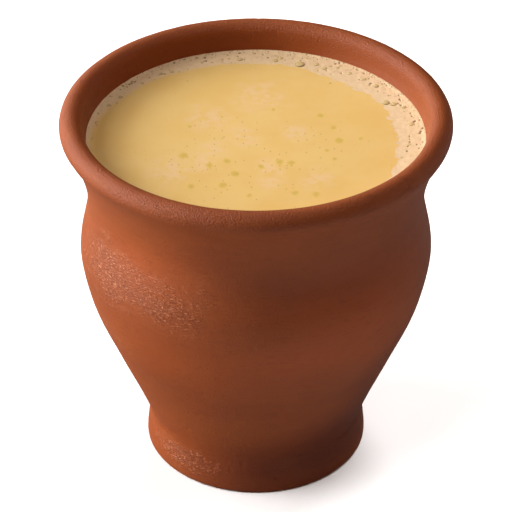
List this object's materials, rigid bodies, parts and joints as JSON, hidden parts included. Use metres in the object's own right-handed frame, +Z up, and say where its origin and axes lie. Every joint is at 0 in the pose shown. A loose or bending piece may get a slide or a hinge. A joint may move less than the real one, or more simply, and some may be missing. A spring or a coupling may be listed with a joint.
{
  "type": "cup of sattu drink",
  "caption": "Unglazed clay cup with a rolled rim, rounded belly and low foot, full of a pale yellow roasted gram flour drink with a ring of froth.",
  "frame": {"origin": "middle of the flat underside of the foot", "axes": "+Z up along the cup's turning axis, -Y towards the side shown in the picture, +X to its right, where the froth is widest"},
  "size_m": [0.09, 0.09, 0.0905],
  "materials": {
    "clay": "matte unglazed terracotta with fine sandy grain, throwing lines and small pits",
    "drink": "opaque pale yellow liquid with a soft sheen",
    "froth": "cream foam with small open bubbles"
  },
  "bodies": {
    "root": {"cup": "clay", "drink": "drink", "froth": "froth"}
  },
  "joints": []
}
